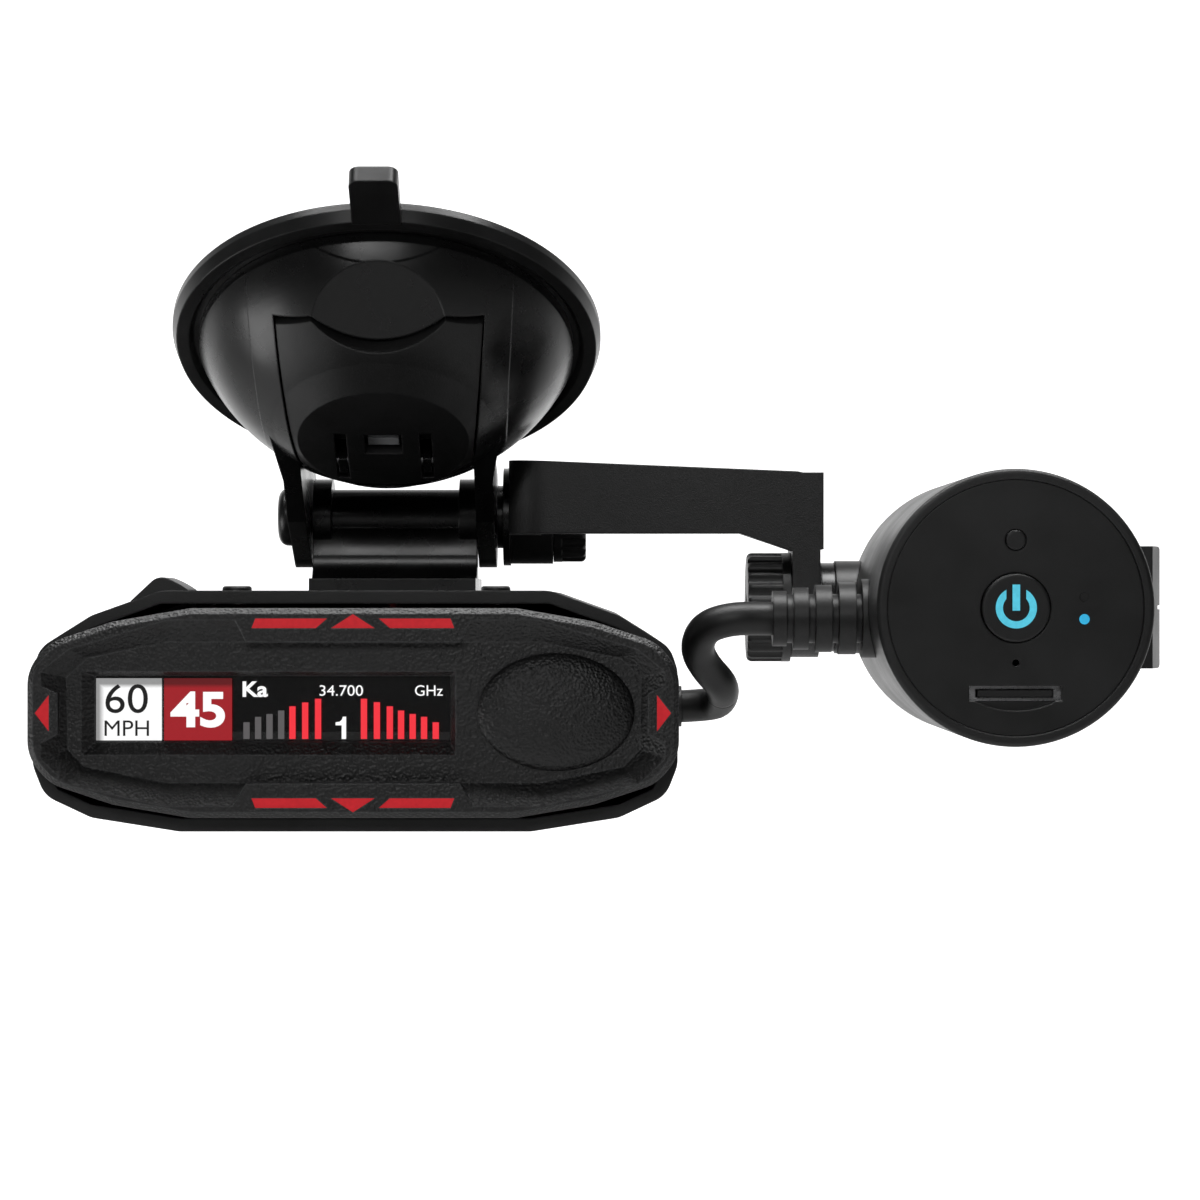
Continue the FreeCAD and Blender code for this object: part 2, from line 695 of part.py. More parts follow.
def make_inside():
    """What works inside the detector's case."""
    node("main_board", block("main_board", (-38, -70, -59.6), (38, 44, -58.0)))
    for name, low, high, mouth, neck in (("road_horn", 20, 49, 49.5, 22), ("cabin_horn", -64, -40, -66, -42)):
        x = -12.0
        outer = doc.addObject("Part::Wedge", name + "_flare")
        mouth_half, neck_half, tall = 11.0, 4.0, 12.0
        for side, value in (("Xmin", x - mouth_half), ("Xmax", x + mouth_half), ("X2min", x - neck_half),
                            ("X2max", x + neck_half), ("Ymin", 0), ("Ymax", abs(neck - mouth)),
                            ("Zmin", 0), ("Zmax", tall), ("Z2min", 2.5), ("Z2max", tall - 2.5)):
            bind(outer, side, value)
        inner = doc.addObject("Part::Wedge", name + "_throat")
        for side, value in (("Xmin", x - mouth_half + 1), ("Xmax", x + mouth_half - 1),
                            ("X2min", x - neck_half + 1), ("X2max", x + neck_half - 1), ("Ymin", -0.5),
                            ("Ymax", abs(neck - mouth) - 1.5), ("Zmin", 1), ("Zmax", tall - 1),
                            ("Z2min", 3.5), ("Z2max", tall - 3.5)):
            bind(inner, side, value)
        horn = cut(name + "_cut", outer, inner)
        backward = 180 if neck < mouth else 0
        horn.Placement = FreeCAD.Placement(FreeCAD.Vector(0, mouth, -57.9 + (tall if backward else 0)),
                                           FreeCAD.Rotation(FreeCAD.Vector(1, 0, 0), backward))
        node(name, horn)
    node("laser_sensor", block("laser_sensor", (6, 40, -57.9), (20, 46, -50.0)))
    node("gps_antenna", block("gps_antenna", (-9, -14, -57.9), (9, 4, -53.8)))
    cone = cylinder("speaker_body", 11.0, -71.5, -64.0, "Z", (0, -22))
    node("speaker", group("speaker_group", cone))
    window = block("road_window_plate", (-25.8, 51.7, -57.9), (25.8, 53.6, -47.7))
    node("road_window", group("road_window_group", window))
    barrel = cylinder("jack_barrel", 2.8, 38.2, 43.9, "X", (1.0, -58.6))
    socket = cylinder("jack_socket", 1.3, 39.4, 45, "X", (1.0, -58.6))
    node("link_jack", cut("link_jack", barrel, socket))


def make_keys():
    for name, x in (("left_key", -cell("key_x")), ("right_key", cell("key_x"))):
        key = new_body(name)
        place(key, x, cell("key_y"), 0)
        pad_circle(key, "XY_Plane", -42.6, -39.9, cell("key_radius"))
        soften(key, "Fillet", 0.4, lambda edge: lies_at(edge, "Z", -39.9))
        flange = cylinder(name + "_flange", 2.9, -43.6, -42.5, "Z", (x, cell("key_y")))
        whole = fuse(name + "_whole", key, flange)
        node(name, whole)
    wedge = new_body("wedge_key")
    pad(wedge, "XZ_Plane", -49.0, -37.0, [
        (-34.2, -44.6), (-34.2, -42.0), (-31.2, -39.2), (-30.6, -38.8, "via"), (-28.9, -38.8),
        (-28.2, -39.1, "via"), (-26.0, -40.4), (-26.0, -44.6)])
    node("wedge_key", wedge)


# Camera arm

def about_pivot(name, radius, low, high):
    return cylinder(name, radius, low, high, "X", (cell("pivot_y"), cell("pivot_z")))


def make_arm():
    left = cell("arm_left")
    inner = left + cell("arm_thick")
    front = cell("arm_front")
    back = front + cell("arm_thick")
    right = cell("arm_right")
    top = cell("arm_top")
    bottom = cell("arm_bottom")
    bend = cell("arm_bend")
    body = new_body("arm_beam")
    nick = bend * 0.293
    pad(body, "XY_Plane", bottom, top, [
        (left, 30), (left, front + bend), (left + nick, front + nick, "via"), (left + bend, front),
        (right, front), (right, back), (inner + 2.2, back), (inner + 0.65, back + 0.65, "via"),
        (inner, back + 2.2), (inner, 30)])
    pocket(body, "XZ_Plane", front - 1, 40, [
        (17, top), (right - 4.0, top - 1.95), (right - 1.15, top - 3.2, "via"), (right, top - 6.1),
        (right + 1, top - 6.1), (right + 1, top + 1), (17, top + 1)])
    leg_left = cell("leg_left")
    leg_right = cell("leg_right")
    radius = cell("leg_radius")
    y = cell("pivot_y")
    z = cell("pivot_z")
    leg = new_body("arm_leg")
    pad(leg, "YZ_Plane", leg_left, leg_right + 0.5, [
        (front, -21.75), (back + 2, -21.75), (y + radius, -28), (y + radius, z), (y, z - radius, "via"),
        (y - radius, z), (front, -30)])
    gusset = new_body("arm_gusset")
    pad(gusset, "XZ_Plane", front, back, [
        (54, bottom + 0.5), (right, bottom + 0.5), (right, -34.2), (63.8, -34.2)])
    hub = about_hinge("arm_hub", cell("hub_radius"), left, cell("hub_right"))
    whole = fuse("arm_whole", body, leg, gusset, hub)
    trim = block("arm_trim", (leg_right, -5, -60), (75, 30, -33.9))
    bolt = about_hinge("arm_bolt_hole", cell("bolt_radius") + cell("run_gap"), 18, 30)
    pivot = about_pivot("arm_pivot_hole", cell("pivot_bolt_radius"), 60, 72)
    bracket = cut("arm_bracket_cut", whole, trim, bolt, pivot)
    node("arm_bracket", bracket)


def make_knob(name, centre, left, right, radius, bore, flutes):
    """A fluted clamp knob about X, with a plain collar at its arm side."""
    body = new_body(name + "_body")
    place(body, 0, *centre)
    pad_circle(body, "YZ_Plane", left, right, radius)
    outer = left if name == "camera_clamp_knob" else right
    soften(body, "Fillet", 0.8, lambda edge: lies_at(edge, "X", outer.number))
    grooves = []
    near = left - 0.1 if name == "camera_clamp_knob" else left + 1.4
    far = right - 1.4 if name == "camera_clamp_knob" else right + 0.1
    for number in range(flutes):
        turn = 2 * math.pi * number / flutes
        spot = (centre[0] + math.cos(turn) * (radius.number + 0.35),
                centre[1] + math.sin(turn) * (radius.number + 0.35))
        grooves.append(cylinder(name + "_flute", 0.95, near, far, "X", spot))
    hole = cylinder(name + "_bore", bore, left - 1, right + 1, "X", centre)
    tool = fuse(name + "_flutes", *grooves)
    return node(name, cut(name, body, tool, hole))


def make_arm_fittings():
    gap = cell("run_gap")
    make_knob("arm_clamp_knob", (cell("hinge_y"), cell("hinge_z")), cell("hub_right") + 0.1,
              cell("arm_knob_right"), cell("arm_knob_radius"), cell("bolt_radius") + gap, 20)
    make_knob("camera_clamp_knob", (cell("pivot_y"), cell("pivot_z")), cell("camera_knob_left"),
              cell("leg_left") - 0.1, cell("camera_knob_radius"), cell("pivot_bolt_radius") + gap, 24)
    shank = about_pivot("pivot_shank", cell("pivot_bolt_radius"), 58.0, 73.2)
    node("pivot_bolt", group("pivot_bolt_group", shank))
    washer = cut("pivot_washer_cut", about_pivot("pivot_washer_disc", 7.1, 68.5, 70.7),
                 about_pivot("pivot_washer_hole", cell("pivot_bolt_radius"), 68, 71))
    node("pivot_washer", washer)


# Camera module, a can along Y

def along_camera(name, radius, low, high, x=0.0, z=0.0):
    """A cylinder along the module, off its axis by x and z."""
    return cylinder(name, radius, low, high, "Y", (cell("camera_x") + x, cell("pivot_z") + z))


def make_camera_shell():
    front = cell("camera_front")
    back = cell("camera_back")
    radius = cell("camera_radius")
    wall = cell("camera_wall")
    body = new_body("camera_can")
    place(body, cell("camera_x"), 0, cell("pivot_z"))
    pad_circle(body, "XZ_Plane", front, back, radius)
    soften(body, "Fillet", 0.7, lambda edge: lies_at(edge, "Y", SIZES["camera_front"]))
    soften(body, "Fillet", 3.0, lambda edge: lies_at(edge, "Y", SIZES["camera_back"]))
    pocket_circle(body, "XZ_Plane", front, back - wall - 0.9, cell("face_radius") + 0.05)
    lens = along_camera("lens_opening", 7.5, back - 4, back + 1)
    bolt = about_pivot("pivot_clear", 2.4, 70, 76.2)
    node("camera_shell", cut("camera_shell", body, lens, bolt))
    can = along_camera("boss_can", radius, front, back)
    boss = cut("pivot_boss_cut", about_pivot("pivot_boss_disc", cell("boss_radius"), 70.85, 78), can,
               about_pivot("pivot_boss_hole", cell("pivot_bolt_radius") + cell("run_gap"), 70, 80))
    node("pivot_boss", boss)
    cap = new_body("side_cap_body")
    place(cap, 0, cell("pivot_y") - 2.4, cell("pivot_z"))
    half = cell("side_cap_radius")
    right = cell("side_cap_right")
    pad(cap, "XY_Plane", -half, half, [
        (108, -half), (right - 2.0, -half), (right, -half + 6.0), (right, half - 1.0), (right - 1.0, half),
        (108, half)])
    soften(cap, "Fillet", 0.6, lambda edge: lies_at(edge, "X", SIZES["side_cap_right"]))
    seam = block("side_cap_seam", (121.4, -5, cell("pivot_z") - 0.3), (123, 25, cell("pivot_z") + 0.3))
    can_again = along_camera("cap_can", radius, front, back)
    node("side_cap", cut("side_cap_cut", cap, can_again, seam))


def make_camera_face():
    front = cell("camera_front")
    plate = along_camera("face_plate", cell("face_radius"), front + 0.25, front + 2.2)
    holes = [
        along_camera("power_hole", cell("power_radius") + 0.15, front - 1, front + 4),
        along_camera("event_hole", cell("event_radius") + 0.1, front - 1, front + 4, 0, 9.9),
        along_camera("mic_hole", 0.5, front - 1, front + 4, 0, -8.0),
        along_camera("light_hole_a", 0.6, front - 1, front + 4, 10.0, 1.6),
        along_camera("light_hole_b", 0.75, front - 1, front + 4, 10.0, -1.65),
    ]
    x = cell("camera_x")
    z = cell("pivot_z")
    slot = block("card_slot", (x - 6.8, front - 1, z - 13.6), (x + 6.8, front + 4, z - 11.4))
    notch = cut("card_notch_cut", cylinder("card_notch", 13.1, front - 1, front + 1.1, "Y", (x, z - 1.9)),
                block("card_notch_top", (x - 14, front - 2, z - 13.2), (x + 14, front + 2, z + 12)))
    node("camera_face", cut("camera_face_cut", plate, *holes, slot, notch))
    lights = [along_camera("light_a", 0.6, front + 0.2, front + 3, 10.0, 1.6),
              along_camera("light_b", 0.75, front + 0.2, front + 3, 10.0, -1.65)]
    node("status_lights", group("status_lights_group", *lights))
    socket = cut("card_socket_cut", block("card_socket", (x - 7.4, front + 2.3, z - 14.2),
                                            (x + 7.4, front + 18.5, z - 10.9)),
                 block("card_way", (x - 5.7, front + 2, z - 13.1), (x + 5.7, front + 17.6, z - 11.9)))
    node("card_socket", socket)
    node("memory_card", group("memory_card_group", block("card_body", (x - 5.5, front + 1.2, z - 13.0),
                                                         (x + 5.5, front + 16.2, z - 12.0))))


def make_camera_buttons():
    front = cell("camera_front")
    x = cell("camera_x")
    z = cell("pivot_z")
    button = new_body("power_cap")
    place(button, x, 0, z)
    pad_circle(button, "XZ_Plane", front - 0.35, front + 2.6, cell("power_radius"))
    soften(button, "Fillet", 0.35, lambda edge: lies_at(edge, "Y", SIZES["camera_front"] - 0.35))
    flange = along_camera("power_flange", 6.0, front + 2.6, front + 3.4)
    # The lit symbol: a ring open at its top and a bar through the opening.
    ring = cut("symbol_ring", along_camera("symbol_out", 3.0, front - 0.4, front + 0.6),
               along_camera("symbol_in", 1.95, front - 1, front + 1),
               block("symbol_gap", (x - 1.45, front - 1, z), (x + 1.45, front + 1, z + 4)))
    bar = block("symbol_bar", (x - 0.55, front - 0.4, z - 0.4), (x + 0.55, front + 0.6, z + 3.4))
    room = fuse("symbol_room", ring, bar)
    node("power_button", cut("power_button_cut", fuse("power_body", button, flange), room))
    node("power_symbol", group("power_symbol_group", room))
    event = new_body("event_cap")
    place(event, x, 0, z + 9.9)
    pad_circle(event, "XZ_Plane", front, front + 2.6, cell("event_radius"))
    soften(event, "Fillet", 0.25, lambda edge: lies_at(edge, "Y", SIZES["camera_front"]))
    flange = along_camera("event_flange", 2.2, front + 2.6, front + 3.4, 0, 9.9)
    node("event_button", fuse("event_body", event, flange))


def make_camera_inside():
    back = cell("camera_back")
    front = cell("camera_front")
    x = cell("camera_x")
    z = cell("pivot_z")
    barrel = cut("lens_barrel_cut", along_camera("lens_barrel_out", 7.4, back - 14, back + 1.2),
                 along_camera("lens_barrel_in", 5.6, back - 12.5, back + 2))
    node("lens_barrel", barrel)
    ring = new_body("lens_ring_body")
    place(ring, x, 0, z)
    pad_circle(ring, "XZ_Plane", back, back + 2.4, 10.5)
    soften(ring, "Chamfer", 1.0, lambda edge: lies_at(edge, "Y", SIZES["camera_back"] + 2.4))
    node("lens_ring", cut("lens_ring_cut", ring, along_camera("lens_ring_hole", 7.45, back - 1, back + 3)))
    glass = doc.addObject("Part::Sphere", "lens_ball")
    bind(glass, "Radius", 9.0)
    place(glass, x, back - 8.2, z)
    lens = common("lens_front", glass, along_camera("lens_round", 5.55, back - 3, back + 2))
    node("lens_glass", lens)
    node("image_board", block("image_board", (x - 9, back - 15.6, z - 9), (x + 9, back - 14.1, z + 9)))
    disc = along_camera("camera_board_disc", 16.5, front + 20, front + 21.6)
    flat = block("camera_board_flat", (x - 20, front + 19, z - 20), (x + 20, front + 23, z - 10))
    node("camera_board", cut("camera_board_cut", disc, flat))


# Link cable from the camera module to the detector

CAMERA_ROUTE = [(68.0, -21.0, -44.7), (58.2, -21.0, -44.7), (53.2, -22.2, -44.7), (49.2, -20.6, -46.0),
                (48.0, -17.0, -49.2), (49.6, -13.4, -52.2), (52.4, -10.3, -55.1), (52.4, -7.0, -56.2)]
PLUG_ROUTE = [(52.4, -7.0, -56.2), (52.4, -2.6, -57.6667), (50.2, 0.4, -58.4), (46.2, 1.0, -58.6)]


def round_path(points):
    """Straight runs joined by tangent arcs, each as large as its two runs allow."""
    points = [FreeCAD.Vector(*point) for point in points]
    edges = []
    last = points[0]
    for before, corner, after in zip(points, points[1:], points[2:]):
        into = corner - before
        out = after - corner
        turn = into.getAngle(out)
        reach = 0.45 * min(into.Length, out.Length)
        radius = reach / math.tan(turn / 2)
        into.normalize()
        out.normalize()
        start = corner - into * reach
        end = corner + out * reach
        middle = (out - into).normalize()
        via = corner + middle * (math.hypot(radius, reach) - radius)
        edges.append(Part.LineSegment(last, start).toShape())
        edges.append(Part.Arc(start, via, end).toShape())
        print("cable bend radius %.1f mm" % radius)
        last = end
    edges.append(Part.LineSegment(last, points[-1]).toShape())
    return Part.Wire(edges)


def make_lead(name, route):
    radius = cell("cable_radius").number
    path = round_path(route)
    start = FreeCAD.Vector(*route[0])
    way = FreeCAD.Vector(*route[1]) - start
    ring = Part.Wire([Part.makeCircle(radius, start, way)])
    lead = doc.addObject("Part::Feature", name)
    lead.Shape = path.makePipeShell([ring], True, True)
    share = lead.Shape.Volume / (math.pi * radius ** 2 * path.Length)
    print("%s is %.1f mm long, volume over section times length %.3f" % (name, path.Length, share))
    node(name, lead)


def make_cable():
    make_lead("camera_lead", CAMERA_ROUTE)
    make_lead("plug_lead", PLUG_ROUTE)
    centre = (1.0, -58.6)
    plug = fuse("plug_body", cylinder("plug_grip", 3.2, 44.1, 46.2, "X", centre),
                cylinder("plug_pin", 1.25, 39.8, 44.5, "X", centre))
    node("link_plug", plug)
    axis = (-21.0, -44.7)
    rings = [(72.9, 78.0, 5.95), (69.4, 72.0, 5.45), (65.9, 68.4, 5.1), (62.6, 64.9, 4.7), (59.5, 61.6, 4.2)]
    solids = [cylinder("relief_ring", radius, low, high, "X", axis) for low, high, radius in rings]
    core = cylinder("relief_core", 3.7, 59.6, 73, "X", axis)
    can = along_camera("relief_can", cell("camera_radius"), cell("camera_front"), cell("camera_back"))
    bore = cylinder("relief_bore", cell("cable_radius") + 0.02, 59, 68, "X", axis)
    node("strain_relief", cut("strain_relief_cut", fuse("relief_body", core, *solids), can, bore))


# Build, test and write every sub-part

make_suction_disc()
make_cup_housing()
make_release_lever()
make_lever_fittings()
make_release_spring()
make_hinge()
make_upper_case()
make_lower_case()
make_bezel()
make_lamps()
make_display()
make_inside()
make_keys()
make_arm()
make_arm_fittings()
make_camera_shell()
make_camera_face()
make_camera_buttons()
make_camera_inside()
make_cable()
doc.recompute()

faulty = [item.Label for item in doc.Objects if {"Invalid", "Error"} & set(item.State)]
for name, item in NODES.items():
    if item.Shape.isNull() or not item.Shape.isValid() or item.Shape.Volume <= 0:
        faulty.append(name)
if faulty:
    raise RuntimeError("objects that failed: " + ", ".join(sorted(set(faulty))))

os.makedirs("parts", exist_ok=True)
for name, item in NODES.items():
    item.Shape.exportStep("parts/%s.step" % name)
print("%d sub-parts written" % len(NODES))
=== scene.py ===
import json
import math

import bmesh
import bpy
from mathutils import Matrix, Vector


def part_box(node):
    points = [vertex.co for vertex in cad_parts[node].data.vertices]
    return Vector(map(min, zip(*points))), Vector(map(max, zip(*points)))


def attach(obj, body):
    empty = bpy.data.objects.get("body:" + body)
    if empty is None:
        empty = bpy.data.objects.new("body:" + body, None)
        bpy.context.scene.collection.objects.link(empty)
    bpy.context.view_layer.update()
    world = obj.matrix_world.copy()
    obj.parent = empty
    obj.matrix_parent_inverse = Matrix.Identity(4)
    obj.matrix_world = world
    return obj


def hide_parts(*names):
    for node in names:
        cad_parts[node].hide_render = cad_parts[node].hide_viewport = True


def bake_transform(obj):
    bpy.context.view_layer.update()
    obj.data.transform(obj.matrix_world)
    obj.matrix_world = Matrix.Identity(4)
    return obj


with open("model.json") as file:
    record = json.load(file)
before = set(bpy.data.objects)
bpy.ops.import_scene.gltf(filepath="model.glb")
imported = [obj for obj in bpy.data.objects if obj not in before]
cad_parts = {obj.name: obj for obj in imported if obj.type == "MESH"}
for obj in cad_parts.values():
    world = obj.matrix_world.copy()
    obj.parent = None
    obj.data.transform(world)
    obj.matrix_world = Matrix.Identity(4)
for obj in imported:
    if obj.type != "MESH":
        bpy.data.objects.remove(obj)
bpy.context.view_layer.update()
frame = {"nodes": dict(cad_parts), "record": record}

MM = 0.001
NODES = frame["nodes"]
SLOT_OF = {part["node"]: part["material_slot"] for part in frame["record"]["subparts"]}


# Camera, at the driver's eye height and looking level to the road

CAMERA_PLACE = (33.4 * MM, -596 * MM, -41.9 * MM)
camera_data = bpy.data.cameras.new("camera")
camera_data.lens = 113.9
camera_data.sensor_width = 36
camera_data.clip_start = 0.01
camera = bpy.data.objects.new("camera", camera_data)
camera.location = CAMERA_PLACE
camera.rotation_euler = (math.radians(90), 0, 0)
bpy.context.scene.collection.objects.link(camera)
bpy.context.scene.camera = camera


# Node helpers

def new_material(name):
    """A material with its Principled shader and object coordinates."""
    material = bpy.data.materials.new(name)
    material.use_nodes = True
    tree = material.node_tree
    shader = tree.nodes["Principled BSDF"]
    coords = tree.nodes.new("ShaderNodeTexCoord").outputs["Object"]
    return material, tree, shader, coords


def add(tree, kind, settings=None, **inputs):
    """A node with its settings and inputs. An input is a number, a colour or another node's socket."""
    node = tree.nodes.new("ShaderNode" + kind)
    for name, value in (settings or {}).items():
        setattr(node, name, value)
    for name, value in inputs.items():
        socket = node.inputs[int(name[1:])] if name[0] == "i" and name[1:].isdigit() else node.inputs[name]
        if isinstance(value, bpy.types.NodeSocket):
            tree.links.new(value, socket)
        else:
            socket.default_value = value
    return node


def noise(tree, coords, scale, detail=2.0, rough=0.5):
    return add(tree, "TexNoise", Vector=coords, Scale=scale, Detail=detail, Roughness=rough).outputs["Fac"]


def ramp(tree, fac, low, high, from_value=0.0, to_value=1.0):
    """fac from low..high mapped to from_value..to_value, clamped."""
    node = add(tree, "MapRange", Value=fac)
    for name, value in (("From Min", low), ("From Max", high), ("To Min", from_value), ("To Max", to_value)):
        node.inputs[name].default_value = value
    return node.outputs["Result"]


def bump(tree, height, strength, distance, normal=None):
    node = add(tree, "Bump", Height=height, Strength=strength, Distance=distance)
    if normal is not None:
        tree.links.new(normal, node.inputs["Normal"])
    return node.outputs["Normal"]


def mix_colour(tree, fac, first, second):
    node = add(tree, "Mix", {"data_type": "RGBA"})
    for name, value in (("Factor", fac), ("A", first), ("B", second)):
        socket = [s for s in node.inputs if s.name == name and s.enabled][0]
        if isinstance(value, bpy.types.NodeSocket):
            tree.links.new(value, socket)
        else:
            socket.default_value = value
    return [s for s in node.outputs if s.enabled][0]


def math_node(tree, operation, first, second):
    node = add(tree, "Math", {"operation": operation})
    for socket, value in zip(node.inputs, (first, second)):
        if isinstance(value, bpy.types.NodeSocket):
            tree.links.new(value, socket)
        else:
            socket.default_value = value
    return node.outputs[0]


def grey(level, tint=0.0):
    """A neutral colour, a little bluer for a positive tint."""
    return (level, level * (1 + tint * 0.3), level * (1 + tint), 1)


# Materials

# How far a moulded surface's roughness strays from its mean
GLOSS_SPREAD = 0.05


def moulded(name, level, roughness, grain=0.0, grain_size=0.5, wear_and_edge_highlight=1.6, pebbled=False):
    """Black moulded plastic: a grain of that size in mm, uneven gloss, and edges painted lighter in patches,
    partly wear and partly painted highlight lines.
    """
    material, tree, shader, coords = new_material(name)
    cloudy = noise(tree, coords, 90, 3.0)
    fine = noise(tree, coords, 1000 / grain_size, 3.0, 0.6)
    worn = noise(tree, coords, 420, 4.0, 0.7)
    soft = add(tree, "Bevel", {"samples": 4}, Radius=0.35 * MM).outputs["Normal"]
    flat = add(tree, "NewGeometry").outputs["Normal"]
    facing = add(tree, "VectorMath", {"operation": "DOT_PRODUCT"}, i0=soft, i1=flat).outputs["Value"]
    rubbed = ramp(tree, worn, 0.35, 0.7, 0.25, 1.0)
    # Edges found from the bevelled normal are lightened in the base colour: a painted highlight along every
    # edge, broken into patches like wear.
    highlit_worn_edge = math_node(tree, "MULTIPLY", ramp(tree, facing, 0.995, 0.9, 0.0, 1.0), rubbed)
    base = mix_colour(tree, ramp(tree, cloudy, 0.3, 0.7), grey(level * 0.82), grey(level * 1.2, 0.05))
    tree.links.new(mix_colour(tree, highlit_worn_edge, base, grey(level * wear_and_edge_highlight, 0.05)), shader.inputs["Base Color"])
    gloss = ramp(tree, cloudy, 0.3, 0.7, roughness - GLOSS_SPREAD, roughness + GLOSS_SPREAD)
    uneven = math_node(tree, "ADD", gloss, ramp(tree, worn, 0.3, 0.75, 0.0, GLOSS_SPREAD * 0.6))
    tree.links.new(uneven, shader.inputs["Roughness"])
    normal = soft
    if grain:
        height = fine
        if pebbled:
            cells = add(tree, "TexVoronoi", {"feature": "SMOOTH_F1"}, Vector=coords, Scale=1000 / grain_size,
                        Smoothness=0.6).outputs["Distance"]
            height = math_node(tree, "ADD", cells, math_node(tree, "MULTIPLY", fine, 0.7))
        normal = bump(tree, height, grain, 0.12 * MM, soft)
    ripple = bump(tree, cloudy, 0.06, 0.15 * MM, normal)
    tree.links.new(ripple, shader.inputs["Normal"])
    return material


def metal(name, colour, roughness, brushed=0.0):
    """Plated or cast metal with fine scratches and slightly dull patches."""
    material, tree, shader, coords = new_material(name)
    cloudy = noise(tree, coords, 160, 4.0)
    fine = noise(tree, coords, 3000, 2.0)
    dark = tuple(0.7 * c for c in colour) + (1,)
    tone = mix_colour(tree, ramp(tree, cloudy, 0.3, 0.7), dark, tuple(colour) + (1,))
    tree.links.new(tone, shader.inputs["Base Color"])
    tree.links.new(ramp(tree, fine, 0.3, 0.7, roughness - 0.06, roughness + 0.08), shader.inputs["Roughness"])
    shader.inputs["Metallic"].default_value = 1.0
    soft = add(tree, "Bevel", {"samples": 4}, Radius=0.15 * MM).outputs["Normal"]
    tree.links.new(bump(tree, fine, 0.15 + brushed, 0.02 * MM, soft), shader.inputs["Normal"])
    return material


def plain_tone(name, colour, roughness, grain=0.15, grain_size=0.4, spread=0.06, vary=0.15):
    """A coloured moulded or printed surface with a fine grain and small shifts of tone."""
    material, tree, shader, coords = new_material(name)
    cloudy = noise(tree, coords, 120, 3.0)
    fine = noise(tree, coords, 1000 / grain_size, 3.0, 0.6)
    dark = tuple((1 - vary) * c for c in colour) + (1,)
    light = tuple(min(1.0, (1 + vary) * c) for c in colour) + (1,)
    tree.links.new(mix_colour(tree, ramp(tree, cloudy, 0.3, 0.7), dark, light), shader.inputs["Base Color"])
    gloss = ramp(tree, fine, 0.3, 0.7, roughness - spread, roughness + spread)
    tree.links.new(gloss, shader.inputs["Roughness"])
    tree.links.new(bump(tree, fine, grain, 0.03 * MM), shader.inputs["Normal"])
    return material


def glowing(name, colour, strength, body_colour, roughness=0.35, vary=0.12, grain_size=0.6):
    """A lit lamp cover: light from inside, a little uneven, under a smooth plastic surface."""
    material, tree, shader, coords = new_material(name)
    uneven = noise(tree, coords, 1000 / grain_size, 2.0)
    level = ramp(tree, uneven, 0.25, 0.75, strength * (1 - vary), strength * (1 + vary))
    shader.inputs["Base Color"].default_value = tuple(body_colour) + (1,)
    shader.inputs["Emission Color"].default_value = tuple(colour) + (1,)
    tree.links.new(level, shader.inputs["Emission Strength"])
    gloss = ramp(tree, uneven, 0.2, 0.8, roughness - 0.05, roughness + 0.05)
    tree.links.new(gloss, shader.inputs["Roughness"])
    tree.links.new(bump(tree, uneven, 0.1, 0.02 * MM), shader.inputs["Normal"])
    return material


def board_green(name):
    """Circuit board: solder mask with faint copper tracks."""
    material, tree, shader, coords = new_material(name)
    tracks = add(tree, "TexBrick", Vector=coords, Scale=260.0, **{"Mortar Size": 0.02}).outputs["Fac"]
    fine = noise(tree, coords, 2000, 2.0)
    tone = mix_colour(tree, tracks, (0.01, 0.07, 0.03, 1), (0.03, 0.15, 0.06, 1))
    tree.links.new(tone, shader.inputs["Base Color"])
    tree.links.new(ramp(tree, fine, 0.3, 0.7, 0.35, 0.5), shader.inputs["Roughness"])
    tree.links.new(bump(tree, tracks, 0.3, 0.03 * MM), shader.inputs["Normal"])
    return material


def see_through(name, tint, clear, roughness):
    """A thin moulded window: mostly clear, with its own gloss and light smears."""
    material, tree, shader, coords = new_material(name)
    smear = noise(tree, coords, 70, 5.0, 0.7)
    shader.inputs["Base Color"].default_value = tint
    tree.links.new(ramp(tree, smear, 0.35, 0.75, roughness, roughness + 0.03), shader.inputs["Roughness"])
    shader.inputs["Transmission Weight"].default_value = clear
    shader.inputs["IOR"].default_value = 1.45
    return material


